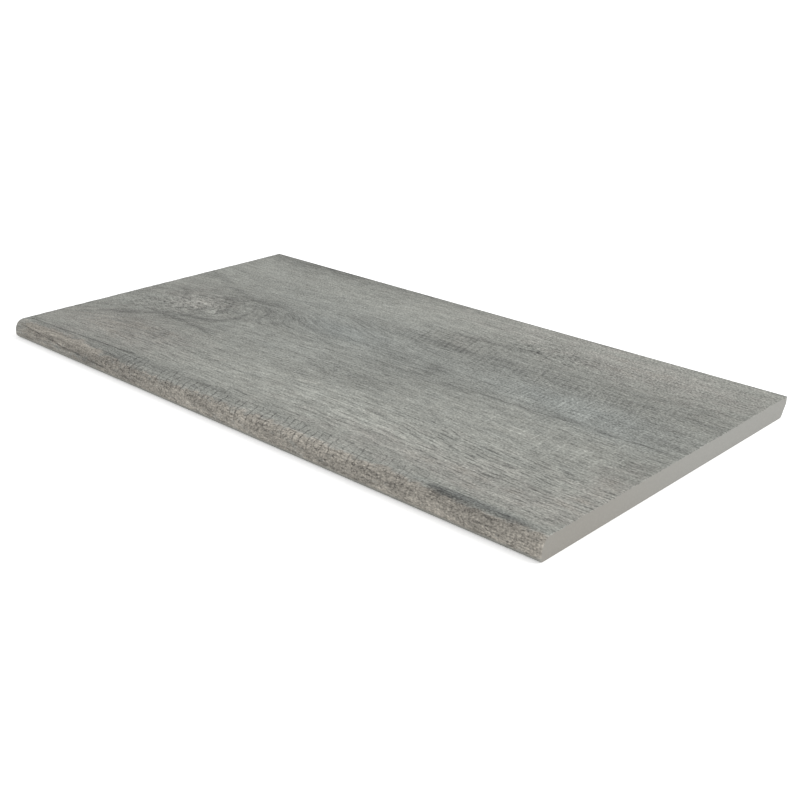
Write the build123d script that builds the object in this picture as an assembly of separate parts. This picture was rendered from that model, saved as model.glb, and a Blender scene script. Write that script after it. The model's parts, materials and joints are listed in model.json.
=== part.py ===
from build123d import *
import os

os.makedirs("parts", exist_ok=True)

# A pressed and fired coping tile that lies on the rim of a pool. It is one piece of ceramic.
# X runs along the rim, the nose points to -Y over the water, and +Z is up.
# The origin is on the bed, at the middle of the tile's plan. All sizes are in millimetres.

# The slab: a 24 by 13 inch format
length = 610.0
width = 330.0
thickness = 17.0

# The nose: a large round off the walking face, an upright front, and a small round into the bed
nose_round = 9.5
nose_low_round = 4.5

# The rear edge: an upright land that meets the next tile, then a slope that leaves room for grout and bedding
rear_land = 6.0
rear_undercut = 7.0
rear_low_round = 2.5
rear_arris = 0.4

# The two sawn ends have a dressed arris all round
end_arris = 0.5

# The pressed back: sunk fields between raised ribs, which key the tile into its bedding
field_size = 38.0
field_depth = 0.8
field_corner = 4.0
field_draft = 30.0
rib_width = 8.0
plain_margin = 30.0


def section():
    """The tile's cross-section, looking along the rim."""
    nose_y = -width / 2
    rear_y = width / 2
    front = (nose_y, thickness - nose_round)
    front_low = (nose_y, nose_low_round)
    bed_front = (nose_y + nose_low_round, 0)
    bed_rear = (rear_y - rear_undercut, 0)
    land_low = (rear_y, thickness - rear_land)
    rear_top = (rear_y, thickness)
    walk_front = (nose_y + nose_round, thickness)
    with BuildSketch(Plane.YZ) as profile:
        with BuildLine():
            RadiusArc(walk_front, front, -nose_round)
            Line(front, front_low)
            RadiusArc(front_low, bed_front, -nose_low_round)
            Polyline(bed_front, bed_rear, land_low, rear_top, walk_front)
        make_face()
        corners = profile.vertices()
        fillet(corners.sort_by_distance((0, *bed_rear))[0], rear_low_round)
        fillet(corners.sort_by_distance((0, *rear_top))[0], rear_arris)
    return profile.sketch


def slab():
    """The section run the whole length of the tile, with the arris of its two ends dressed off."""
    body = extrude(section(), amount=length / 2, both=True)
    ends = body.faces().sort_by(Axis.X)
    return chamfer(ends[0].edges() + ends[-1].edges(), end_arris)


def back_fields():
    """The sunk fields of the pressed back, in rows and columns about the middle of the bed."""
    pitch = field_size + rib_width
    columns = int((length - 2 * plain_margin + rib_width) // pitch)
    rows = int((width - 2 * plain_margin + rib_width) // pitch)
    with BuildPart() as fields:
        with BuildSketch(Plane.XY):
            with GridLocations(pitch, pitch, columns, rows):
                RectangleRounded(field_size, field_size, field_corner)
        extrude(amount=field_depth, taper=field_draft)
    return fields.part


coping_tile = slab() - back_fields()
export_step(coping_tile, "parts/coping_tile.step")
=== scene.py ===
# %% [markdown]
# A pool coping tile is one piece of fired porcelain. Its walking face and nose carry a matte glaze that is
# pressed and printed to look like a weathered grey board, and the pale body shows where no glaze lies: on
# the two ends, the rear edge and the bed. The solid of the tile is loaded first, as a fixed frame.
# Everything below is measured from it, so the dressed tile has the solid's size and place.

# %% Load the frame
import json
from math import atan2, degrees, hypot, pi, radians, tan

import bmesh
import bpy
import numpy as np
from mathutils import Euler, Matrix, Vector

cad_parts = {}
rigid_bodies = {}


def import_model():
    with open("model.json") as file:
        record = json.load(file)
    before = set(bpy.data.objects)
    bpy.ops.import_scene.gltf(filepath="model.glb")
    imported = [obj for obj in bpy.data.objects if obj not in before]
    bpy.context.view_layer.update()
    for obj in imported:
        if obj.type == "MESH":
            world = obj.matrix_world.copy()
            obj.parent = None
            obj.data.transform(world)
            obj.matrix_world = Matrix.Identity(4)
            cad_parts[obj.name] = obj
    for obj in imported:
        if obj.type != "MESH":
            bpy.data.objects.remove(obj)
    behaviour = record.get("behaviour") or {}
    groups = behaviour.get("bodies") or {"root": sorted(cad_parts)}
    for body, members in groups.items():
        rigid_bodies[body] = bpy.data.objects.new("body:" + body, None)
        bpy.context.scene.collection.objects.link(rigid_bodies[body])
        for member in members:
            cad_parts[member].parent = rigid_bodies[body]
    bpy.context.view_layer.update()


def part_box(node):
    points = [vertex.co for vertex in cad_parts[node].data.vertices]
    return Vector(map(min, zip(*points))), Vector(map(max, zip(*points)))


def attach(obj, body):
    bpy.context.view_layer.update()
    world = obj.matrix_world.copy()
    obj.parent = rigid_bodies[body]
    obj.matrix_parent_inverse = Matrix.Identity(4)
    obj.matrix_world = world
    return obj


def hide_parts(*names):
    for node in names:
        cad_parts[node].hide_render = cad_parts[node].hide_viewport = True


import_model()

MM = 0.001
low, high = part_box("coping_tile")
length, width, thickness = high - low
print("tile, metres:", [round(v, 4) for v in (length, width, thickness)])

# %% [markdown]
# The photograph was taken with a short telephoto lens, from the nose side and a little above. The three
# angles, the distance and the lens below come from the tile's own straight edges: lines that are parallel
# on the tile meet at vanishing points in the picture. The camera is turned by its yaw and pitch first and
# then rolled about its own axis, which one set of Euler angles can't say, so the two turns are multiplied.

# %% Camera
picture_pixels = 805
focal_pixels = 1197.6
camera_yaw = 0.7424
camera_pitch = 0.3907
camera_roll = 0.0114
camera_distance = 1.0468
tile_right_of_axis = -0.0268
tile_below_axis = -0.0253

camera_aim = Euler((pi / 2 - camera_pitch, 0, camera_yaw)).to_matrix()
camera_turn = camera_aim @ Matrix.Rotation(camera_roll, 3, "Z")
camera_place = camera_turn @ Vector((-tile_right_of_axis, tile_below_axis, camera_distance))
camera_data = bpy.data.cameras.new("camera")
camera_data.sensor_width = 36
camera_data.lens = focal_pixels / picture_pixels * camera_data.sensor_width
camera = bpy.data.objects.new("camera", camera_data)
camera.matrix_world = Matrix.Translation(camera_place) @ camera_turn.to_4x4()
bpy.context.collection.objects.link(camera)
bpy.context.scene.camera = camera
print("camera at", [round(v, 3) for v in camera_place], "lens", round(camera_data.lens, 1))

# %% [markdown]
# Tiles are shown on a white sweep. One flat plane is enough for it here, because the camera looks down and
# never sees its edge, and a little light of its own lifts it to plain white. It is open under the middle of
# the tile and clear from below, so the back of the tile can be looked at too.

# %% Floor
floor_white = 0.9
floor_lift = 0.42
floor_reach = 15.0
floor_drop = 0.02 * MM
opening_length = length - 6 * MM
opening_width = width - 18 * MM
opening_middle = -2 * MM


def new_material(name):
    """A new material and its empty node tree."""
    material = bpy.data.materials.new(name)
    material.use_nodes = True
    material.node_tree.nodes.clear()
    return material, material.node_tree


def node(tree, kind, inputs=(), **settings):
    """Adds one node, sets its properties, and links or sets its inputs, which are (socket, value) pairs."""
    made = tree.nodes.new(kind)
    for name, value in settings.items():
        setattr(made, name, value)
    for socket, value in inputs:
        if isinstance(value, bpy.types.NodeSocket):
            tree.links.new(value, made.inputs[socket])
        else:
            made.inputs[socket].default_value = value
    return made


def floor_material():
    material, tree = new_material("white_sweep")
    to_camera = node(tree, "ShaderNodeLightPath").outputs["Is Camera Ray"]
    seen = node(tree, "ShaderNodeMath", [(0, to_camera), (1, floor_lift)], operation="MULTIPLY")
    paint = node(tree, "ShaderNodeBsdfDiffuse", [("Color", (floor_white, floor_white, floor_white, 1))])
    lift = node(tree, "ShaderNodeEmission", [("Strength", seen.outputs[0])])
    both = node(tree, "ShaderNodeAddShader", [(0, paint.outputs[0]), (1, lift.outputs[0])])
    below = node(tree, "ShaderNodeNewGeometry").outputs["Backfacing"]
    from_below = node(tree, "ShaderNodeMath", [(0, to_camera), (1, below)], operation="MULTIPLY")
    clear = node(tree, "ShaderNodeBsdfTransparent")
    shown = node(tree, "ShaderNodeMixShader", [
        (0, from_below.outputs[0]), (1, both.outputs[0]), (2, clear.outputs[0]),
    ])
    node(tree, "ShaderNodeOutputMaterial", [("Surface", shown.outputs[0])])
    return material


bpy.ops.object.select_all(action="DESELECT")
bpy.ops.mesh.primitive_plane_add(size=1, location=(0, opening_middle, low.z - floor_drop))
floor = bpy.context.object
floor.name = "floor"
floor.scale = (opening_length + 2 * floor_reach, opening_width + 2 * floor_reach, 1)
bpy.ops.object.transform_apply(location=True, rotation=True, scale=True)
bpy.ops.object.mode_set(mode="EDIT")
bpy.ops.mesh.select_all(action="SELECT")
bpy.ops.mesh.inset(thickness=floor_reach)
bpy.ops.mesh.delete(type="FACE")
bpy.ops.object.mode_set(mode="OBJECT")
floor.data.materials.append(floor_material())
print("opening under the tile, mm:", round(opening_length / MM), "by", round(opening_width / MM))

# %% [markdown]
# The light of the photograph is even and soft. A world of one level gives the even part, and one large
# square lamp, well off to the right and behind, gives the rest. A smaller lamp would throw a hard shadow.
# The world is plain white to the camera only, so the backdrop stays white whatever its light is set to.

# %% Sky and lamp
sky_light = 0.68
lamp_power = 134.0
lamp_size = 3.6
lamp_place = Vector((3.3, 2.1, 3.6))

world = bpy.data.worlds.new("studio")
world.use_nodes = True
sky_tree = world.node_tree
sky_tree.nodes.clear()
to_camera = node(sky_tree, "ShaderNodeLightPath").outputs["Is Camera Ray"]
sky_level = node(sky_tree, "ShaderNodeMix", [(0, to_camera), (2, sky_light), (3, 1.0)]).outputs[0]
sky = node(sky_tree, "ShaderNodeBackground", [("Color", (1, 1, 1, 1)), ("Strength", sky_level)])
node(sky_tree, "ShaderNodeOutputWorld", [("Surface", sky.outputs[0])])
bpy.context.scene.world = world

softbox = bpy.data.lights.new("key_softbox", "AREA")
softbox.energy = lamp_power
softbox.size = lamp_size
key = bpy.data.objects.new("key_softbox", softbox)
key.location = lamp_place
key.rotation_euler = lamp_place.to_track_quat("Z", "Y").to_euler()
bpy.context.collection.objects.link(key)
bpy.context.scene.view_settings.view_transform = "Standard"
print("lamp, metres from the tile:", round(lamp_place.length, 2), "and across:", lamp_size)

# %% [markdown]
# A grid is the start of the tile: it is the walking face, cut finely enough across the grain for the
# pressed relief and coarsely along it, because wood grain is long and thin. The rest is drawn out of its
# front edge, as a section is drawn: round the nose with spin, down the front, round into the bed, and back
# along the bed and up the rear edge. Spin and extrude leave the new edge selected, so each step carries on
# from the last.

# %% Draw the slab out of the walking face
nose_round = 9.5 * MM
nose_low_round = 4.5 * MM
rear_land = 6.0 * MM
rear_undercut = 7.0 * MM
rear_low_round = 2.5 * MM
rear_arris = 0.4 * MM
end_arris = 0.5 * MM
along_step = 2.5 * MM
across_step = 1.0 * MM
tiny = 0.01 * MM

nose_y = low.y
rear_y = high.y
face_length = length - 2 * end_arris
face_width = width - nose_round
face_columns = round(face_length / along_step)
face_rows = round(face_width / across_step)
front_height = thickness - nose_round - nose_low_round


def pick(test, mode="VERT"):
    """In edit mode, selects only the elements that pass the test."""
    bpy.ops.mesh.select_all(action="DESELECT")
    bpy.ops.mesh.select_mode(type=mode)
    mesh = bmesh.from_edit_mesh(bpy.context.object.data)
    elements = {"VERT": mesh.verts, "EDGE": mesh.edges, "FACE": mesh.faces}[mode]
    passed = [element for element in elements if not element.hide and test(element)]
    for element in passed:
        element.select_set(True)
    mesh.select_flush_mode()
    bmesh.update_edit_mesh(bpy.context.object.data)
    return len(passed)


def draw_out(y, z, steps=1):
    """Extrudes the selected edge by a straight distance in the section, in one or more steps."""
    for _ in range(steps):
        bpy.ops.mesh.extrude_region_move(TRANSFORM_OT_translate={"value": (0, y / steps, z / steps)})


def turn_down(y, z, radius):
    """Spins the selected edge a quarter turn downwards about a centre in the section."""
    steps = round(radius * pi / 2 / across_step)
    bpy.ops.mesh.spin(steps=steps, angle=-pi / 2, center=(0, y, z), axis=(1, 0, 0))


bpy.ops.object.select_all(action="DESELECT")
bpy.ops.mesh.primitive_grid_add(
    x_subdivisions=face_columns, y_subdivisions=face_rows, size=1,
    location=(0, rear_y - face_width / 2, thickness),
)
tile = bpy.context.object
tile.name = "glazed_coping_tile"
tile.scale = (face_length, face_width, 1)
bpy.ops.object.transform_apply(location=True, rotation=True, scale=True)

bpy.ops.object.mode_set(mode="EDIT")
front_row = pick(lambda vertex: vertex.co.y < nose_y + nose_round + tiny)
turn_down(nose_y + nose_round, thickness - nose_round, nose_round)
draw_out(0, -front_height, round(front_height / across_step))
turn_down(nose_y + nose_low_round, nose_low_round, nose_low_round)
draw_out(width - nose_low_round - rear_undercut, 0)
draw_out(rear_undercut, thickness - rear_land)
draw_out(0, rear_land)
bpy.ops.mesh.select_all(action="SELECT")
bpy.ops.mesh.remove_doubles(threshold=tiny)
print("columns:", front_row - 1, "rows on the face:", face_rows)

# %% [markdown]
# Two corners of the rear edge are soft: the low one where the slope meets the bed, and the fine arris at
# the walking face. Bevel makes both, each on the whole row of edges. The offset of a fillet is its radius
# times the tangent of half the turn, so the turn of the slope is worked out first.

# %% Soften the rear edge


def lies_at(y, z):
    """A test for edges that run along the tile at one point of its section."""
    def test(edge):
        return all(hypot(vertex.co.y - y, vertex.co.z - z) < tiny for vertex in edge.verts)
    return test


slope_turn = atan2(thickness - rear_land, rear_undercut)
pick(lies_at(rear_y - rear_undercut, 0), "EDGE")
bpy.ops.mesh.bevel(offset_type="ABSOLUTE", offset=rear_low_round * tan(slope_turn / 2), segments=3)
pick(lies_at(rear_y, thickness), "EDGE")
bpy.ops.mesh.bevel(offset_type="ABSOLUTE", offset=rear_arris, segments=2)
print("turn of the slope, degrees:", round(degrees(slope_turn), 1))

# %% [markdown]
# The ends are flat cuts. Each open end is filled with one face, and inset with a depth of its own width
# draws that face outwards and shrinks it, which leaves the dressed arris all round.

# %% Close the two ends
for side in (-1, 1):
    pick(lambda vertex: abs(vertex.co.x - side * face_length / 2) < tiny)
    bpy.ops.mesh.edge_face_add()
    bpy.ops.mesh.normals_make_consistent(inside=False)
    bpy.ops.mesh.inset(thickness=end_arris, depth=end_arris)
bpy.ops.mesh.select_all(action="SELECT")
bpy.ops.mesh.normals_make_consistent(inside=False)
print("faces after the ends:", len(bmesh.from_edit_mesh(tile.data).faces))

# %% [markdown]
# The back of a pressed tile has shallow fields between ribs, which hold the adhesive. The long strips of
# the bed are dissolved into one face, everything else is hidden, and straight cuts with bisect divide it
# into square cells. A first inset leaves the rib round each cell, a vertex bevel rounds the field's
# corners, and a second inset with a negative depth sinks the field with a drafted wall.

# %% Press the back
field_size = 38.0 * MM
field_depth = 0.8 * MM
field_corner = 4.0 * MM
field_draft = radians(30)
rib_width = 8.0 * MM
plain_margin = 30.0 * MM
pitch = field_size + rib_width
columns = int((length - 2 * plain_margin + rib_width) // pitch)
rows = int((width - 2 * plain_margin + rib_width) // pitch)
block_x = columns * pitch / 2
block_y = rows * pitch / 2


def is_bed(face):
    return face.normal.z < -0.99 and face.calc_center_median().z < tiny


def is_cell(face):
    centre = face.calc_center_median()
    inside = abs(centre.x) < block_x and abs(centre.y) < block_y
    return inside and abs(face.calc_area() - pitch * pitch) < 0.01 * pitch * pitch


def cut_bed(distance, axis):
    """Cuts all that isn't hidden along one straight line across the bed."""
    place, normal = [0, 0, 0], [0, 0, 0]
    place[axis] = distance
    normal[axis] = 1
    bpy.ops.mesh.select_all(action="SELECT")
    bpy.ops.mesh.bisect(plane_co=place, plane_no=normal)


pick(is_bed, "FACE")
bpy.ops.mesh.dissolve_faces()
bpy.ops.mesh.hide(unselected=True)
for column in range(columns + 1):
    cut_bed(column * pitch - block_x, 0)
for row in range(rows + 1):
    cut_bed(row * pitch - block_y, 1)
cells = pick(is_cell, "FACE")
bpy.ops.mesh.inset(thickness=rib_width / 2, use_individual=True)
bpy.ops.mesh.select_mode(type="VERT")
bpy.ops.mesh.bevel(affect="VERTICES", offset_type="ABSOLUTE", offset=field_corner, segments=3)
fields = pick(lambda face: len(face.verts) > 8 and face.calc_area() > 0.9 * field_size ** 2, "FACE")
bpy.ops.mesh.inset(thickness=field_depth * tan(field_draft), depth=-field_depth, use_individual=True)
bpy.ops.mesh.reveal(select=False)
bpy.ops.object.mode_set(mode="OBJECT")
print("cells:", cells, "fields sunk:", fields)

# %% [markdown]
# A fired tile is solid all through, so its mesh must be closed, with no stray edge inside. Counting the
# edges that don't have two faces, and measuring the volume, finds a slip before the finish buries it.

# %% Check the drawn tile
tile.data.calc_loop_triangles()
triangles = len(tile.data.loop_triangles)
corners = np.array([v.co for v in tile.data.vertices])
print("triangles:", triangles, "box:", corners.min(0).round(5), corners.max(0).round(5))
checked = bmesh.new()
checked.from_mesh(tile.data)
open_edges = sum(not edge.is_manifold for edge in checked.edges)
print("open edges:", open_edges, "volume, cm3:", round(checked.calc_volume() * 1e6, 1))
checked.free()

# %% [markdown]
# The print and the relief both follow a board that runs along the tile, over the face and down round the
# nose. Object coordinates would stretch on the nose, so each vertex is given a place in millimetres of its
# own: how far along the tile, and how far from the rear edge along the section. Vertex attributes hold such
# values, and both a shader and Geometry Nodes can read them.

# %% Give every vertex its place on the section
nose_centre_y = (nose_y + nose_round) / MM
nose_centre_z = (thickness - nose_round) / MM
face_end = face_width / MM
front_start = face_end + nose_round / MM * pi / 2

x, y, z = corners.T / MM
turned = np.arctan2(nose_centre_y - y, np.maximum(z - nose_centre_z, 0))
across = np.where(y > nose_centre_y, rear_y / MM - y, face_end + nose_round / MM * turned)
across = np.where((y <= nose_centre_y) & (z < nose_centre_z), front_start + nose_centre_z - z, across)


def keep(name, kind, values):
    """Stores one value or vector for each vertex, under a name that the nodes can read."""
    field = "vector" if kind == "FLOAT_VECTOR" else "value"
    attribute = tile.data.attributes.new(name, kind, "POINT")
    attribute.data.foreach_set(field, np.ascontiguousarray(values, dtype=np.float32).ravel())


keep("section", "FLOAT_VECTOR", np.stack([x, across, np.zeros(len(x))], 1))
print("from the rear, mm: nose starts", round(face_end, 1), "front starts", round(front_start, 1))

# %% [markdown]
# Round a knot the grain lines part as water parts round a stone, and inside it they close round its tip.
# The middle of this knot lies beyond the end of the tile, so only the tip of its flame shows. The
# coordinate across the grain is shifted, so every pattern follows the bend. Inside the tip it hardly
# changes, and noise on it would smear into stripes, so a third coordinate, which climbs across the tip,
# breaks them up.

# %% Bend the grain round the knot
knot_rim = 184
knot_rings = 44
knot_fade = 3.6
tip_middle = 178
tip_climb = 9
sweep_middle = 250
sweep_half_width = 45


def ellipse(at, half_sizes, tilt=0.0):
    """How far each vertex is from a tilted ellipse on the face: 0 at its middle, 1 on its rim."""
    right, forward = x - at[0], across - at[1]
    turn = radians(tilt)
    first = (right * np.cos(turn) - forward * np.sin(turn)) / half_sizes[0]
    second = (right * np.sin(turn) + forward * np.cos(turn)) / half_sizes[1]
    return np.hypot(first, second)


reach = ellipse((-330, 245), (190, 42), 28)
parted = (knot_rim - across) * np.maximum(reach, 1) ** -knot_fade
closed = knot_rings * np.maximum(1 - reach, 0)
in_knot = np.exp(-ellipse((-215, 178), (52, 32), 24) ** 4)
curl = np.sin(x / 4.1 + 2 * np.sin(across / 7.3)) + np.sin(across / 3.4 + 2 * np.sin(x / 8.7))
sweep = np.exp(-((across - sweep_middle) / sweep_half_width) ** 2) * np.sin((x + 40) / 70)
grain_across = across + (parted - closed)
grain_across += 1.5 * in_knot * curl
grain_across += 8 * sweep
grain_across += 3 * np.sin(x / 130 + across / 90)
in_tip = np.exp(-ellipse((-200, 180), (80, 42), 26) ** 4)
climb = in_tip * (across - tip_middle) / tip_climb
keep("grain", "FLOAT_VECTOR", np.stack([x, grain_across, climb], 1))
print("grain from", grain_across.min().round(1), "to", grain_across.max().round(1), "mm")

# %% [markdown]
# The board that was printed has darker and lighter clouds. They are put on as a decorator would with an
# airbrush: each dab has a place, a length along the grain, a width, a tilt and a strength in levels. The
# places are millimetres from the tile's middle and from its rear edge. A painted texture could hold them as
# well, but dabs stay soft at any size and can be moved one by one. One dab is no print but a painted
# highlight, and the last two darken a thin strip along the left end and along the rear edge.

# %% Airbrush the clouds
def airbrush(dabs):
    """Adds up soft dabs: (along, from the rear, half length, half width, tilt, strength)."""
    layer = np.zeros(len(x))
    for along, rear, half_length, half_width, tilt, strength in dabs:
        layer += strength * np.exp(-ellipse((along, rear), (half_length, half_width), tilt) ** 2)
    return layer


clouds_and_painted_highlight = airbrush((
    (-200, 2, 120, 18, 0, -24),
    (150, 14, 190, 24, 0, 12),
    (-60, 45, 120, 30, 0, 8),
    (-60, 76, 60, 14, 0, 4),
    (25, 42, 40, 18, 0, 6),
    (150, 46, 26, 12, 0, -3),
    (-270, 60, 60, 40, 0, 3),
    (140, 102, 190, 20, 0, -11),
    (260, 82, 70, 16, 0, -6),
    (35, 90, 30, 16, -22, -8),
    (105, 62, 70, 14, -6, -9),
    (-180, 138, 56, 20, -4, -18),
    (-215, 130, 34, 14, 0, 5),
    (-140, 104, 100, 16, 0, 4),
    (-95, 152, 60, 18, -8, -5),
    (-150, 166, 34, 16, 0, -11),
    (-250, 160, 50, 30, 0, -8),
    (-228, 168, 32, 20, 20, 8),
    (62, 157, 13, 17, 0, -9),
    (-210, 222, 80, 26, 14, -9),
    (55, 162, 54, 22, 0, -12),
    (25, 214, 52, 13, -4, -13),
    (-25, 238, 30, 6, -8, -7),
    (285, 148, 38, 20, 0, -12),
    (297, 200, 18, 14, 0, -17),
    (190, 205, 90, 28, 0, 8),
    (225, 226, 40, 13, 0, -4),
    (95, 166, 28, 20, 0, -4),
    (-52, 198, 50, 28, 0, 11),
    (90, 216, 60, 18, 0, 3),
    (-150, 256, 44, 16, 0, -5),
    (20, 272, 150, 40, 0, 7),
    (95, 268, 210, 42, 0, 10),
    (-275, 284, 46, 24, 0, 6),
    (-88, 286, 44, 16, 0, 5),
    (285, 296, 40, 20, 0, 7),
    (235, 304, 44, 9, 0, 4),
    (-200, 262, 90, 30, 0, -4),
    (-200, 310, 110, 10, 0, -14),
    (-40, 312, 60, 8, 0, -8),
    (-162, 318, 34, 5, 0, -7),
    (-138, 318, 9, 4, 0, -28),
    (-160, 321, 12, 3, 0, -20),
    (-191, 320.5, 11, 2.5, 0, -26),
    (-160, 331, 46, 8, 0, -5),
    (-110, 324, 64, 8, 0, -6),
    (-245, 319, 60, 4, 0, -6),
    (243, 320, 46, 4, 0, -12),
    (212, 311, 18, 3, 0, 12),
    (-245, 331, 60, 3.5, 0, -8),
    # A painted highlight, not print: a light strip across the front of the nose, on the right.
    (205, 337.5, 90, 2.2, 0, 14),
    (210, 328, 80, 8, 0, -3),
    (-245, 328, 50, 9, 0, -3.5),
    (-152, 328, 30, 9, 0, -4.5),
    (-91, 328, 28, 9, 0, 6),
    (-30, 328, 28, 9, 0, -4),
    (98, 328, 84, 9, 0, 5),
    (35, 336.5, 70, 2.6, 0, 7),
    # These two dabs darken a thin strip along the left end and along the rear edge.
    (-305, 180, 1.8, 400, 0, -26),
    (0, 0, 700, 1.8, 0, -22),
))
keep("clouds_and_painted_highlight", "FLOAT", clouds_and_painted_highlight)
print("clouds:", clouds_and_painted_highlight.min().round(1), "to", clouds_and_painted_highlight.max().round(1), "levels")

# %% [markdown]
# Some marks are narrow and curved, such as the rim of the knot and the dark stain near the nose. A dab
# can't bend, so these are brush strokes along a short path. Each stroke is full strength on its path and
# fades with the distance from it. They are kept apart from the clouds, because the grain breaks them up
# less.

# %% Brush the narrow marks
far_off = 1000.0


def stroke(half_width, strength, *path):
    """A brush stroke through points, each (along, from the rear)."""
    nearest = np.full(len(x), far_off)
    for start, end in zip(path, path[1:]):
        run = np.subtract(end, start)
        part = ((x - start[0]) * run[0] + (across - start[1]) * run[1]) / (run @ run)
        part = np.clip(part, 0, 1)
        gap = np.hypot(x - start[0] - part * run[0], across - start[1] - part * run[1])
        nearest = np.minimum(nearest, gap)
    return strength * np.exp(-(nearest / half_width) ** 2)


tip_rim = ((-164, 168), (-160, 180), (-165, 192), (-172, 200), (-184, 205), (-200, 208), (-224, 216))
knot_marks = (
    stroke(3.2, -24, *tip_rim)
    + stroke(2.6, -12, (-176, 204), (-190, 207))
    + stroke(2.8, -21, (-150, 227), (-170, 222), (-210, 220), (-228, 222), (-246, 238), (-276, 257))
    + stroke(4.5, -12, (-303, 98), (-270, 108), (-238, 119), (-205, 131), (-165, 131))
    + stroke(2.2, -17, (-228, 150), (-212, 149), (-198, 155), (-190, 168), (-186, 178))
    + stroke(2.2, -14, (-275, 157), (-262, 162), (-254, 168), (-247, 176))
    + stroke(2.2, -13, (-212, 160), (-206, 172), (-204, 185), (-198, 197))
    + stroke(3.0, 15, (-252, 155), (-240, 149), (-226, 146))
    + stroke(2.6, 20, (-190, 143), (-182, 147))
    + stroke(3.2, 16, (-226, 171), (-212, 174))
    + stroke(3.0, 12, (-244, 170), (-228, 178))
    + stroke(3.0, 12, (-203, 180), (-194, 186))
    + stroke(3.2, 14, (-149, 187), (-138, 184), (-132, 190))
)
grain_marks = (
    stroke(1.8, -12, (65, 172), (120, 172))
    + stroke(3.0, -13, (14, 69), (60, 67), (95, 58), (134, 47))
    + stroke(1.5, -14, (16, 156), (42, 154))
    + stroke(3.2, -14, (195, 163), (250, 165))
    + stroke(2.2, 9, (135, 176), (205, 173))
    + stroke(2.5, -13, (247, 120), (285, 127))
    + stroke(1.9, -11, (160, 118), (196, 116))
    + stroke(1.5, -8, (197, 45), (295, 50))
    + stroke(1.3, -15, (230, 90), (240, 96), (247, 102))
    + stroke(2.0, -10, (-188, 263), (-163, 262))
    + stroke(2.2, 8, (-57, 268), (-10, 252), (55, 229))
    + stroke(2.2, -12, (-115, 313), (-55, 309), (5, 311))
    + stroke(4.2, -28, (207, 318.5), (222, 319), (262, 320), (288, 321))
    + stroke(4.6, -16, (206, 318.5), (236, 320))
    + stroke(3.6, -12, (214, 323), (280, 325))
    # This stroke is a small light spot on the face at the right end, next to the nose.
    + stroke(1.2, 45, (302.5, 317.5), (304.5, 318))
)
marks = knot_marks + grain_marks
keep("marks", "FLOAT", marks)
print("marks:", marks.min().round(1), "to", marks.max().round(1), "levels")

# %% [markdown]
# A weathered board isn't one grey, but bluish in some places and brown in others. A third layer holds that
# warmth, from -1 for bluish to 1 for brown. It is kept apart from the lightness, because a warm patch can
# be dark or light.

# %% Warm and cool the print
warmth = 0.2 + airbrush((
    (-245, 288, 110, 40, 0, 0.25),
    (230, 285, 110, 40, 0, 0.12),
    (200, 140, 70, 26, 0, -0.3),
    (-60, 200, 70, 24, 0, -0.25),
    (-270, 150, 60, 40, 0, 0.2),
    (-222, 172, 44, 26, 20, 0.3),
    (-205, 262, 76, 36, 0, 0.4),
    (-65, 138, 55, 22, 0, -1.0),
    (-110, 100, 110, 36, 0, -0.35),
    (20, 150, 90, 40, 0, -0.4),
    (185, 138, 90, 20, 0, -0.9),
    (255, 165, 60, 14, 0, -0.4),
    (225, 152, 64, 18, 0, -0.35),
    (100, 110, 130, 20, 0, -0.2),
    (35, 86, 30, 14, -20, 0.4),
    (80, 14, 200, 30, 0, 0.25),
    (220, 45, 110, 30, 0, 0.35),
    (190, 292, 160, 24, 0, 0.3),
    (296, 235, 22, 50, 0, 0.4),
    (-150, 315, 40, 8, 0, -0.4),
    (-300, 326, 14, 14, 0, -0.5),
    (-252, 325, 26, 4, 0, 0.5),
    (-230, 336, 60, 3, 0, -0.4),
    (240, 319, 50, 5, 0, -1.2),
    (230, 330, 90, 6, 0, 0.4),
))
keep("warmth", "FLOAT", warmth)
print("warmth:", warmth.min().round(2), "to", warmth.max().round(2))

# %% [markdown]
# Some patterns show only in places: light and dark saw marks, rough patches, combed grain, freckles, and
# the curls of the knot. A mask says where each shows. The noise that draws them comes later, in the nodes,
# because it needs no vertices and stays sharp.

# %% Mask the patterns of the face
face_masks = {
    "light_saw": (
        (200, 140, 95, 24, 0, 1.0),
        (195, 205, 110, 34, 0, 0.7),
        (-130, 60, 90, 30, 0, 0.3),
    ),
    "dark_saw": (
        (22, 86, 48, 28, 0, 1.2),
        (120, 100, 80, 17, 0, 0.8),
        (230, 105, 60, 15, 0, 0.6),
        (105, 50, 60, 16, 0, 0.4),
    ),
    "rough": (
        (110, 52, 58, 22, -6, 1.2),
        (38, 86, 34, 20, -20, 0.4),
        (230, 60, 70, 24, 0, 0.4),
        (-222, 182, 58, 34, 34, 1.0),
        (10, 208, 36, 15, -8, 0.7),
        (150, 288, 60, 10, 0, 0.4),
        (268, 300, 44, 14, 0, 0.6),
    ),
    "combed": (
        (225, 262, 110, 34, 0, 1.0),
        (60, 268, 110, 30, 0, 0.5),
        (-190, 268, 110, 32, 0, 0.6),
        (240, 175, 60, 12, 0, 0.5),
    ),
    "freckled": (
        (190, 30, 150, 44, 0, 1.0),
        (-180, 60, 140, 60, 0, 0.5),
        (190, 130, 130, 40, 0, 0.6),
    ),
}
for name, dabs in face_masks.items():
    mask = np.clip(airbrush(dabs), 0, 1)
    keep(name, "FLOAT", mask)
    print(name, "on", round(float((mask > 0.5).mean() * 100), 1), "% of the vertices")
keep("curly", "FLOAT", airbrush(((-222, 181, 58, 32, 28, 1.0), (-275, 212, 34, 22, 34, 0.6))))

# %% [markdown]
# The nose has masks of its own. Short cracks run over its top, but not near its ends, the fine crackle
# fades out on the left, and the brown begins a little higher or lower along the tile. The relief is pressed
# into the face and the nose only, and it fades out near the bed.

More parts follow.
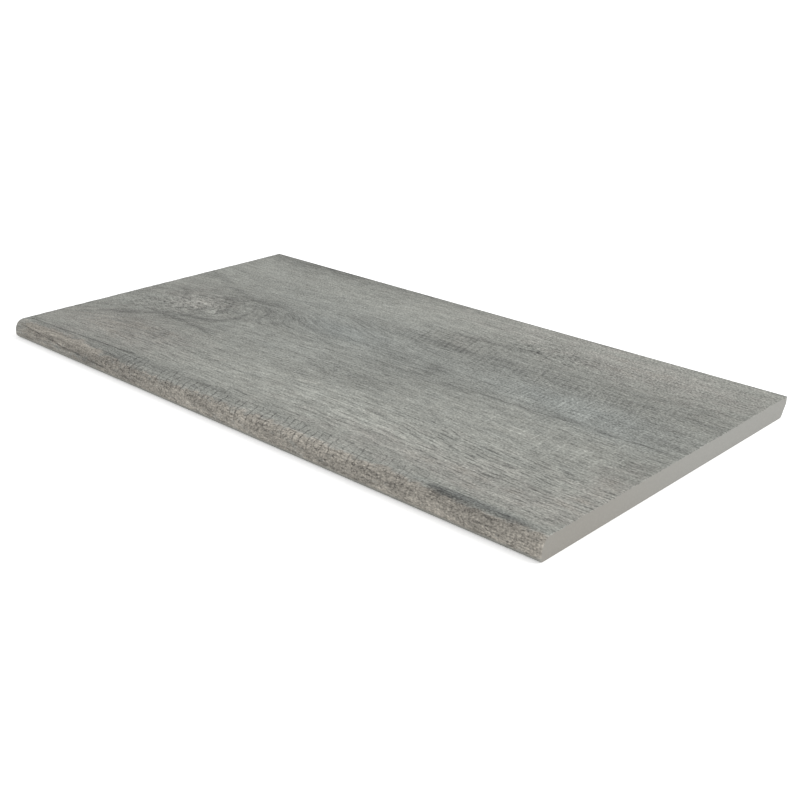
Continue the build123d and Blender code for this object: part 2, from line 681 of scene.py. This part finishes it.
# %% Mask the nose and the relief
cracks_left, cracks_right = -215, 225
cracks_fade = 90
cracks_middle = 316
cracks_half_width = 16
brown_border = 316
crackle_left = -220
crackle_fade = 60
crackle_least = 0.12
relief_lowest = 1.5
relief_fade = 3.0
rear_margin = 0.5
close_by = 0.1

cracked = np.clip((x - cracks_left) / cracks_fade, 0, 1) * np.clip((cracks_right - x) / cracks_fade, 0, 1)
keep("checks", "FLOAT", cracked * np.exp(-((across - cracks_middle) / cracks_half_width) ** 4))
border_shift = airbrush(((-95, 320, 55, 90, 0, 4.0), (-235, 320, 40, 90, 0, -2.0)))
keep("brown_from", "FLOAT", brown_border + border_shift)
keep("crackled", "FLOAT", np.clip((x - crackle_left) / crackle_fade, crackle_least, 1))

is_top = z > thickness / MM - close_by
is_nose = y < nose_centre_y + close_by
is_glazed = (is_top | is_nose) & (y < rear_y / MM - rear_margin) & (abs(x) < face_length / 2 / MM + close_by)
pressed_here = np.where(is_glazed, np.clip((z - relief_lowest) / relief_fade, 0, 1), 0)
keep("pressed", "FLOAT", pressed_here)
print("pressed vertices:", int((pressed_here > 0).sum()))

# %% [markdown]
# Many nodes are the same in a shader and in a Geometry Nodes tree, so one function draws a pattern in
# either. That keeps pigment and relief together, as on the real tile, where the dark lies in the grooves. A
# pattern is noise, stretched by dividing its coordinates by the size of one lump in millimetres. Patterns
# of the wood take the bent grain coordinates. Others, such as the fine speckle, take the plain section
# coordinates, because the bend in the knot would draw them out into stripes.

# %% Stretched noise for both trees
def vertex_value(tree, name, kind="FLOAT"):
    """Reads one of the tile's own attributes in either kind of tree."""
    if tree.bl_idname == "GeometryNodeTree":
        return node(tree, "GeometryNodeInputNamedAttribute", [("Name", name)], data_type=kind).outputs[0]
    reader = node(tree, "ShaderNodeAttribute", attribute_name=name)
    return reader.outputs["Vector" if kind == "FLOAT_VECTOR" else "Fac"]


def maths(tree, operation, first, second=0.0, third=0.0, clamp=False):
    inputs = [(0, first), (1, second), (2, third)]
    return node(tree, "ShaderNodeMath", inputs, operation=operation, use_clamp=clamp).outputs[0]


def times(tree, pattern, *others):
    """Multiplies a pattern by masks or by other patterns."""
    for other in others:
        pattern = maths(tree, "MULTIPLY", pattern, other)
    return pattern


def lay(tree, base, pattern, strength):
    """Adds a pattern to a running sum, with its strength."""
    return maths(tree, "MULTIPLY_ADD", pattern, strength, base)


def remap(tree, value, start, end, low_out=0.0, high_out=1.0):
    """Smoothly takes a range of a value to another."""
    inputs = [(0, value), (1, start), (2, end), (3, low_out), (4, high_out)]
    return node(tree, "ShaderNodeMapRange", inputs, interpolation_type="SMOOTHSTEP").outputs[0]


def two_ways(tree, space):
    """How far along the tile, and how far from the rear, in the grain or in the section."""
    place = node(tree, "ShaderNodeSeparateXYZ", [(0, vertex_value(tree, space, "FLOAT_VECTOR"))])
    return place.outputs[0], place.outputs[1]


def streaks(tree, along, wide, seed, detail=2.0, space="grain", slant=0.0):
    """Noise from about 0.2 to 0.8, with lumps of so many millimetres along and across."""
    place = vertex_value(tree, space, "FLOAT_VECTOR")
    if slant:
        parts = node(tree, "ShaderNodeSeparateXYZ", [(0, place)])
        leant = lay(tree, parts.outputs[0], parts.outputs[1], slant)
        place = node(tree, "ShaderNodeCombineXYZ", [(0, leant), (1, parts.outputs[1])]).outputs[0]
    lump = (1 / along, 1 / wide, 1)
    sized = node(tree, "ShaderNodeVectorMath", [(0, place), (1, lump)], operation="MULTIPLY").outputs[0]
    shift = (seed, seed * 1.7, seed)
    where = node(tree, "ShaderNodeVectorMath", [(0, sized), (1, shift)], operation="ADD").outputs[0]
    noise = [("Vector", where), ("Scale", 1.0), ("Detail", detail)]
    return node(tree, "ShaderNodeTexNoise", noise).outputs[0]


# %% [markdown]
# The relief is pressed into the body before firing, so here it is real shape and not a trick of the light.
# It has three depths: long open pores, broad bands of early and late wood, and a slow ripple. A Geometry
# Nodes modifier moves each vertex of the face and nose inwards, never outwards, so the tile keeps its size.
# The Displace modifier could do this too, but it can't read the grain coordinates.

# %% Press the relief
groove_depth = 0.22 * MM
band_depth = 0.16 * MM
ripple_depth = 0.10 * MM
sharpest_smooth = radians(28)


def grooves(tree):
    """Long open pores, the deepest of the relief."""
    return remap(tree, streaks(tree, along=18, wide=2.0, seed=3.1), 0.54, 0.70)


def growth(tree):
    """Broad bands of early and late wood."""
    return streaks(tree, along=190, wide=11, seed=8.4)


relief = bpy.data.node_groups.new("pressed_relief", "GeometryNodeTree")
relief.interface.new_socket("Geometry", in_out="INPUT", socket_type="NodeSocketGeometry")
relief.interface.new_socket("Geometry", in_out="OUTPUT", socket_type="NodeSocketGeometry")
blank = node(relief, "NodeGroupInput")
ripple = remap(relief, streaks(relief, along=30, wide=5, seed=5.5), 0.3, 0.7)
depth = times(relief, grooves(relief), groove_depth)
depth = lay(relief, depth, remap(relief, growth(relief), 0.35, 0.65), band_depth)
depth = lay(relief, depth, ripple, ripple_depth)
depth = times(relief, depth, vertex_value(relief, "pressed"), -1.0)
outward = node(relief, "GeometryNodeInputNormal").outputs[0]
not_along = [(0, outward), (1, (0, 1, 1))]
in_section = node(relief, "ShaderNodeVectorMath", not_along, operation="MULTIPLY").outputs[0]
straight = node(relief, "ShaderNodeVectorMath", [(0, in_section)], operation="NORMALIZE").outputs[0]
inward = node(relief, "ShaderNodeVectorMath", [(0, straight), ("Scale", depth)], operation="SCALE").outputs[0]
moved = node(relief, "GeometryNodeSetPosition", [("Geometry", blank.outputs[0]), ("Offset", inward)])
node(relief, "NodeGroupOutput", [(0, moved.outputs[0])])

presser = tile.modifiers.new("pressed_relief", "NODES")
presser.node_group = relief
bpy.ops.object.select_all(action="DESELECT")
tile.select_set(True)
bpy.context.view_layer.objects.active = tile
bpy.ops.object.modifier_apply(modifier=presser.name)
bpy.ops.object.shade_smooth_by_angle(angle=sharpest_smooth)
pressed = np.array([v.co for v in tile.data.vertices])
deepest = np.linalg.norm(pressed - corners, axis=1).max() / MM
print("deepest, mm:", deepest.round(3))

# %% [markdown]
# A print is judged by eye in levels from 0 to 255, so the lightness is added up in those levels, pattern by
# pattern, and turned into linear light once, at the end. A pattern is laid about its middle value, so that
# it changes the contrast and not the mean. The tone comes from a colour ramp over the warmth, and it only
# scales the lightness, so a dark pore and a light fibre of one patch share it.

# %% Levels and tones
white_level = 255.0
display_gamma = 2.2
middle_value = 0.5
bluish = (0.95, 1.0, 0.94, 1)
grey = (0.975, 1.0, 0.914, 1)
warm_grey = (0.984, 1.0, 0.905, 1)
pinkish = (1.015, 1.0, 0.91, 1)
brown = (1.075, 1.0, 0.87, 1)


def lay_centred(tree, level, pattern, strength):
    """Adds a pattern about its middle value, so that the mean stays."""
    return lay(tree, level, maths(tree, "SUBTRACT", pattern, middle_value), strength)


def fade_to(tree, value, other, amount):
    """Goes from a value to another by an amount from 0 to 1."""
    return lay(tree, value, maths(tree, "SUBTRACT", other, value), amount)


def warmth_tone(tree, warm):
    """The tone of a warmth: -1 is bluish, 0 grey, 0.6 pinkish and 1 brown."""
    place = maths(tree, "MULTIPLY_ADD", warm, 0.5, 0.5, clamp=True)
    ramp = node(tree, "ShaderNodeValToRGB", [(0, place)])
    stops = ramp.color_ramp.elements
    stops[0].color = bluish
    stops[1].color = brown
    stops.new(0.5).color = grey
    stops.new(0.65).color = warm_grey
    stops.new(0.8).color = pinkish
    return ramp.outputs[0]


def tint(tree, level, tone):
    """A colour from a lightness in levels and a tone."""
    lightness = maths(tree, "POWER", maths(tree, "DIVIDE", level, white_level), display_gamma)
    return node(tree, "ShaderNodeVectorMath", [(0, tone), ("Scale", lightness)], operation="SCALE").outputs[0]


porcelain, tree = new_material("glazed_porcelain")
print("tones run from", bluish[:3], "to", brown[:3])

# %% [markdown]
# The ground of the print is the grain. The clouds, with the painted highlight among them, and the marks come
# first, broken up along the grain, then bands, fibres, a fine speckle and blotches. On them lie the open
# pores and the fine dark lines of the year rings, which are a sine across the grain, bent and broken by
# noise. Combed grain has stronger lines, and where the board is freckled the speckle takes the place of the
# fibres. Two running sums go from layer to layer, the level of the print and the height of its fine bumps.

# %% Print the grain
glaze_level = 144.0
ring_spacing = 4.4
ring_wobble = 11.0


def ring_lines(tree):
    """Fine dark lines of the grain, side by side as year rings are, a little wavy and broken."""
    _, across_grain = two_ways(tree, "grain")
    bent = lay(tree, across_grain, streaks(tree, along=34, wide=10, seed=14.6), ring_wobble)
    lines = remap(tree, maths(tree, "SINE", times(tree, bent, 2 * pi / ring_spacing)), 0.15, 0.98)
    breaks = remap(tree, streaks(tree, along=10, wide=2.6, seed=17.9), 0.40, 0.56)
    return times(tree, lines, breaks)


streaky = streaks(tree, along=45, wide=4.5, seed=6.2, detail=3)
bands = streaks(tree, along=60, wide=5, seed=12.7, detail=3)
fibres = streaks(tree, along=13, wide=1.6, seed=21.3)
speckle = streaks(tree, along=2.0, wide=1.1, seed=33.9, space="section")
blotches = streaks(tree, along=34, wide=22, seed=41.1, detail=3, space="section")
freckled_here = vertex_value(tree, "freckled")
level = lay(tree, glaze_level, vertex_value(tree, "clouds_and_painted_highlight"), remap(tree, streaky, 0.3, 0.7, 0.3, 1.7))
level = lay(tree, level, vertex_value(tree, "marks"), remap(tree, streaky, 0.3, 0.7, 0.7, 1.3))
level = lay_centred(tree, level, growth(tree), 22)
level = lay_centred(tree, level, bands, 30)
level = lay_centred(tree, level, fibres, remap(tree, freckled_here, 0.0, 1.0, 74.0, 34.0))
level = lay_centred(tree, level, speckle, remap(tree, freckled_here, 0.0, 1.0, 146.0, 235.0))
level = lay_centred(tree, level, blotches, 24)

pores = grooves(tree)
rings = ring_lines(tree)
combed_here = vertex_value(tree, "combed")
level = lay(tree, level, pores, remap(tree, combed_here, 0.0, 1.0, -10.0, -20.0))
level = lay(tree, level, rings, remap(tree, combed_here, 0.0, 1.0, -11.0, -39.0))
level = lay(tree, level, combed_here, 4.0)
height = lay(tree, times(tree, pores, -0.5), rings, -0.5)
height = lay(tree, height, speckle, 0.6)
print("nodes with the grain:", len(tree.nodes))

# %% [markdown]
# A saw leaves even marks across a board. Stretched noise is too uneven for them, so they are lines at a
# steady spacing that lean and waver a little. The lines are counted, and white noise over the count gives
# each one a strength of its own. Light marks lie on some patches and dark ones on others.

# %% Print the saw marks
def cross_lines(tree, spacing, lean, wobble, half_width):
    """Lines side by side across the grain: the lines, the chance of each, and the way from the rear."""
    along_tile, rear = two_ways(tree, "section")
    leant = lay(tree, along_tile, rear, -lean)
    leant = lay(tree, leant, streaks(tree, along=17, wide=9, seed=61.3, space="section"), wobble)
    count = maths(tree, "DIVIDE", leant, spacing)
    off_middle = maths(tree, "ABSOLUTE", maths(tree, "SUBTRACT", maths(tree, "FRACT", count), 0.5))
    line = remap(tree, times(tree, off_middle, spacing), half_width * 0.3, half_width, 1.0, 0.0)
    whole = maths(tree, "FLOOR", count)
    chance = node(tree, "ShaderNodeTexWhiteNoise", [("W", whole)], noise_dimensions="1D").outputs["Value"]
    return line, chance, rear


def saw_marks(tree, mask, spacing, lean, half_width, faintest, seed):
    """Even marks of a saw, some fainter than others, and broken along their length."""
    line, chance, _ = cross_lines(tree, spacing, lean, 3.0, half_width)
    strength = remap(tree, chance, 0.0, 1.0, faintest, 1.0)
    breaks = remap(tree, streaks(tree, along=5, wide=15, seed=seed, space="section"), 0.34, 0.56)
    return times(tree, line, strength, breaks, vertex_value(tree, mask))


light_marks = saw_marks(tree, "light_saw", spacing=4.1, lean=0.05, half_width=1.7, faintest=0.2, seed=51.7)
dark_marks = saw_marks(tree, "dark_saw", spacing=6.2, lean=0.28, half_width=1.8, faintest=0.5, seed=55.9)
level = lay(tree, level, light_marks, 26.0)
level = lay(tree, level, dark_marks, -27.0)
height = lay(tree, height, light_marks, 0.3)
print("nodes with the saw marks:", len(tree.nodes))

# %% [markdown]
# The rough patches are short dark and light flecks that lean against the grain, cut from the low and the
# high end of one noise. The knot is curly as well. A curl is drawn where a noise passes its middle value,
# which gives thin closed lines, like the level lines of a map, where a cut of the noise would give lumps.

# %% Print the rough patches and the curls
line_level = -40.0


def thin_lines(tree, along, wide, seed, width, slant=0.0):
    """Single lines, drawn where a stretched noise passes its middle value."""
    noise = streaks(tree, along, wide, seed, 1, "section", slant)
    off_middle = maths(tree, "ABSOLUTE", maths(tree, "SUBTRACT", noise, middle_value))
    return remap(tree, off_middle, 0.0, width, 1.0, 0.0)


flecks = streaks(tree, along=5.5, wide=3.2, seed=57.7, detail=3, space="section", slant=-0.3)
rough_here = vertex_value(tree, "rough")
level = lay(tree, level, times(tree, remap(tree, flecks, 0.46, 0.32), rough_here), -34.0)
level = lay(tree, level, times(tree, remap(tree, flecks, 0.54, 0.70), rough_here), 26.0)

curly_here = vertex_value(tree, "curly")
curls = thin_lines(tree, along=9.0, wide=4.2, seed=87.3, width=0.08, slant=-0.7)
curls = times(tree, curls, curly_here)
level = lay(tree, level, curls, line_level)
level = lay(tree, level, curly_here, 7.0)
height = lay(tree, height, curls, -0.5)
print("nodes with the flecks and curls:", len(tree.nodes))

# %% [markdown]
# The nose is browner than the face, with a border that wanders, so noise moves the border to and fro. Short
# drying cracks run down over it. They are cross lines again, and each line's chance sets where it starts
# and how strong it is. Between them the nose has a fine crackle, a mottle and patches. Its lightness is
# also lifted by 14 levels of painted light, because the nose faces away from the lamp.

# %% Print the nose
highest_crack = 298.0
lowest_crack = 308.0
crack_fade = 5.0


def on_nose(tree):
    """1 on the nose, 0 on the walking face, with a border that wanders."""
    _, rear = two_ways(tree, "section")
    wander = lay(tree, -9.0, streaks(tree, along=9, wide=6, seed=91.2, detail=3, space="section"), 18.0)
    past_border = maths(tree, "SUBTRACT", maths(tree, "ADD", rear, wander), vertex_value(tree, "brown_from"))
    return remap(tree, past_border, 0.0, 10.0)


def drying_cracks(tree):
    """Short cracks that run down over the nose, each with a length of its own."""
    line, chance, rear = cross_lines(tree, spacing=6.8, lean=0.32, wobble=8.0, half_width=0.8)
    top = lay(tree, lowest_crack, chance, highest_crack - lowest_crack)
    started = remap(tree, maths(tree, "SUBTRACT", rear, top), 0.0, crack_fade)
    strength = remap(tree, chance, 0.4, 1.0, 1.0, 0.3)
    breaks = remap(tree, streaks(tree, along=5, wide=5, seed=66.1, detail=1, space="section"), 0.28, 0.44)
    return times(tree, line, times(tree, started, strength, breaks), vertex_value(tree, "checks"))


nose_here = on_nose(tree)
crackled_here = times(tree, nose_here, vertex_value(tree, "crackled"))
mottle = streaks(tree, along=2.4, wide=1.5, seed=74.2, space="section")
patches = streaks(tree, along=15, wide=5, seed=78.4, detail=3, space="section")
level = lay(tree, level, lay_centred(tree, 0.0, mottle, 68), crackled_here)
# The 14 levels are painted light, standing in for the lamp light that the nose, facing away from it, doesn't
# get.
level = lay(tree, level, lay_centred(tree, 14.0, patches, 60), nose_here)

cracks = drying_cracks(tree)
crackle = thin_lines(tree, along=3.4, wide=2.2, seed=71.9, width=0.09)
crackle_breaks = remap(tree, streaks(tree, along=4, wide=3, seed=76.3, space="section"), 0.45, 0.6)
crackle = times(tree, crackle, crackle_breaks, crackled_here)
level = lay(tree, level, cracks, line_level)
level = lay(tree, level, crackle, line_level)
height = lay(tree, height, cracks, -0.9)
height = lay(tree, height, crackle, -0.5)
print("nodes with the nose:", len(tree.nodes))

# %% [markdown]
# A few creases are single fine lines with places of their own: two on the left of the nose and two on the
# face. They are hardly wider than the step between two rows of vertices, so an attribute can't hold them.
# The shader works out how far each point lies from a bowed line instead, and a little noise makes it waver.

# %% Draw the single creases
creases = (
    ((-301, 327.5), (-158, 335.8), 0.6, 1.0, 1.0),
    ((-303, 315.4), (-148, 305.8), 0.6, 1.3, 1.0),
    ((112, 168.5), (214, 165.0), 0.9, 1.2, 0.8),
    ((270, 164.0), (312, 164.2), 0.0, 1.2, 0.5),
)


def crease(tree, along_tile, rear, start, end, bow, half_width, weight):
    """A line between two points, each (along, from the rear), bowed in its middle and faded at its ends."""
    past_start = maths(tree, "SUBTRACT", along_tile, start[0])
    part = maths(tree, "DIVIDE", past_start, end[0] - start[0], clamp=True)
    sag = times(tree, part, maths(tree, "SUBTRACT", 1.0, part))
    middle = lay(tree, start[1], part, end[1] - start[1])
    middle = lay(tree, middle, sag, 4 * bow)
    gap = maths(tree, "ABSOLUTE", maths(tree, "SUBTRACT", rear, middle))
    line = remap(tree, gap, half_width * 0.3, half_width, weight, 0.0)
    return times(tree, line, remap(tree, sag, 0.0, 0.04))


along_tile, from_rear = two_ways(tree, "section")
waver = lay(tree, -1.2, streaks(tree, along=12, wide=6, seed=47.4, space="section"), 2.4)
wavering = maths(tree, "ADD", from_rear, waver)
drawn = 0.0
for one in creases:
    drawn = maths(tree, "MAXIMUM", drawn, crease(tree, along_tile, wavering, *one))
uneven = remap(tree, streaks(tree, along=8, wide=4, seed=49.9, space="section"), 0.3, 0.6, 0.45, 1.0)
drawn = times(tree, drawn, uneven)
level = lay(tree, level, drawn, line_level)
height = lay(tree, height, drawn, -0.5)
print("nodes with", len(creases), "creases:", len(tree.nodes))

# %% [markdown]
# The warmth gets streaks along the grain. On the nose it is lifted to brown and broken up by rusty flecks.
# The brown is made here and not airbrushed, so that it ends where the nose's own wandering border does. Low
# on the nose, where the print of the real tile ends, lightness and warmth both fade to those of a plain
# glaze. That plain lightness is set higher than the glaze's own, as painted light against the shade on the
# low round, which faces down.

# %% Tone the print
nose_warmth = 0.85
rust_strength = 1.4
# The plain level is lighter than the plain glaze itself: painted light against the shade on the
# downward-facing low round.
plain_level_with_painted_light = 160.0
plain_warmth = 0.5
print_ends = 2.4 * MM
print_full = 4.8 * MM

streaky_warmth = streaks(tree, along=20, wide=8, seed=81.3, detail=3)
rust = streaks(tree, along=6, wide=3, seed=84.6, space="section")
warm = lay(tree, vertex_value(tree, "warmth"), streaky_warmth, 0.9)
warm = lay(tree, maths(tree, "SUBTRACT", warm, 0.45), nose_here, nose_warmth)
warm = lay(tree, warm, lay_centred(tree, 0.0, rust, rust_strength), nose_here)

place = node(tree, "ShaderNodeTexCoord").outputs["Object"]
axes = node(tree, "ShaderNodeSeparateXYZ", [(0, place)]).outputs
plain_here = maths(tree, "SUBTRACT", 1.0, remap(tree, axes[2], print_ends, print_full))
level = fade_to(tree, level, plain_level_with_painted_light, plain_here)
warm = fade_to(tree, warm, plain_warmth, plain_here)
glaze_colour = tint(tree, level, warmth_tone(tree, warm))
print("nodes with the tones:", len(tree.nodes))

# %% [markdown]
# The bare body is fired clay, pale and gritty, and a little darker and warmer towards the nose. A cut shows
# the same stuff in every direction, so its noise is in Object coordinates.

# %% The bare body
body_level = 160.0
body_dark = -7.5
body_turns_over = 230 * MM
body_tone_rear = (1.012, 1.0, 0.935, 1)
body_tone_nose = (1.045, 1.0, 0.905, 1)
grit_scale = 900.0
grit_strength = 14


def object_noise(scale):
    """Even noise in every direction, in metres."""
    return node(tree, "ShaderNodeTexNoise", [("Vector", place), ("Scale", scale), ("Detail", 3.0)]).outputs[0]


to_nose = remap(tree, axes[1], float(nose_y), float(nose_y + body_turns_over), 1.0, 0.0)
gritty_level = lay_centred(tree, body_level, object_noise(grit_scale), grit_strength)
gritty_level = lay(tree, gritty_level, to_nose, body_dark)
body_tone = node(tree, "ShaderNodeMix", [(0, to_nose)], data_type="RGBA")
body_tone.inputs[6].default_value = body_tone_rear
body_tone.inputs[7].default_value = body_tone_nose
body_colour = tint(tree, gritty_level, body_tone.outputs[2])
print("nodes with the body:", len(tree.nodes))

# %% [markdown]
# The glaze ends where the saw cut the tile, where the press left the rear edge bare, and at the bed. Each
# border is a distance that is positive on the glazed side. The smallest of them decides, and noise makes it
# ragged. On a sawn end the glaze shows as a thin skin, thickest on the nose, so there the depth below the
# glazed surface counts too.

# %% Where the glaze ends
face_skin = 0.5 * MM
nose_skin = 2.4 * MM
rear_skin = 1.2 * MM
rear_strip = 4.0 * MM
bed_strip = 1.0 * MM
ragged_by = 2.0 * MM
ragged_scale = 450.0
border_blur = 0.05 * MM
end_weight = 8.0

past_centre = maths(tree, "SUBTRACT", float(nose_y + nose_round), axes[1])
past_centre = maths(tree, "MAXIMUM", past_centre, 0.0)
above_centre = maths(tree, "SUBTRACT", axes[2], float(thickness - nose_round))
above_centre = maths(tree, "MAXIMUM", above_centre, 0.0)
radial = node(tree, "ShaderNodeCombineXYZ", [(0, past_centre), (1, above_centre)]).outputs[0]
radius = node(tree, "ShaderNodeVectorMath", [(0, radial)], operation="LENGTH").outputs["Value"]
deep = maths(tree, "SUBTRACT", float(nose_round), radius)
skin = remap(tree, past_centre, 0.0, float(nose_round), face_skin, nose_skin)

end_plane = float(length / 2 - end_arris / 2)
end_gap = maths(tree, "SUBTRACT", end_plane, maths(tree, "ABSOLUTE", axes[0]))
end_gap = times(tree, end_gap, end_weight)
end_gap = maths(tree, "MAXIMUM", end_gap, maths(tree, "SUBTRACT", skin, deep))
rear_gap = maths(tree, "SUBTRACT", axes[2], float(thickness - rear_skin))
rear_gap = maths(tree, "MAXIMUM", rear_gap, maths(tree, "SUBTRACT", float(rear_y - rear_strip), axes[1]))
bed_gap = maths(tree, "SUBTRACT", axes[2], bed_strip)
gap = maths(tree, "MINIMUM", maths(tree, "MINIMUM", end_gap, rear_gap), bed_gap)
ragged = lay(tree, -ragged_by / 2, object_noise(ragged_scale), ragged_by)
glazed_here = remap(tree, maths(tree, "ADD", gap, ragged), -border_blur, border_blur)
print("nodes with the border:", len(tree.nodes))

# %% [markdown]
# One material covers the tile, and the mask of the last step mixes the matte glaze with the rougher body.
# Two materials would need an edge in the mesh along the ragged border. The finest bumps are a Bump node,
# because they are smaller than the mesh can hold.

# %% Glaze over body
glaze_roughness = 0.55
body_roughness = 0.9
bump_strength = 0.9
bump_distance = 0.35 * MM

bumps = [("Strength", bump_strength), ("Distance", bump_distance), ("Height", height)]
bump = node(tree, "ShaderNodeBump", bumps).outputs[0]
glaze = node(tree, "ShaderNodeBsdfPrincipled", [
    ("Base Color", glaze_colour), ("Roughness", glaze_roughness), ("Normal", bump),
])
body = node(tree, "ShaderNodeBsdfPrincipled", [
    ("Base Color", body_colour), ("Roughness", body_roughness),
])
layers = [(0, glazed_here), (1, body.outputs[0]), (2, glaze.outputs[0])]
both = node(tree, "ShaderNodeMixShader", layers)
node(tree, "ShaderNodeOutputMaterial", [("Surface", both.outputs[0])])
tile.data.materials.append(porcelain)
print("nodes in the whole material:", len(tree.nodes))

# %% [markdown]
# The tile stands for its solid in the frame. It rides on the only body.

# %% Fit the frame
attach(tile, "root")
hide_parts("coping_tile")
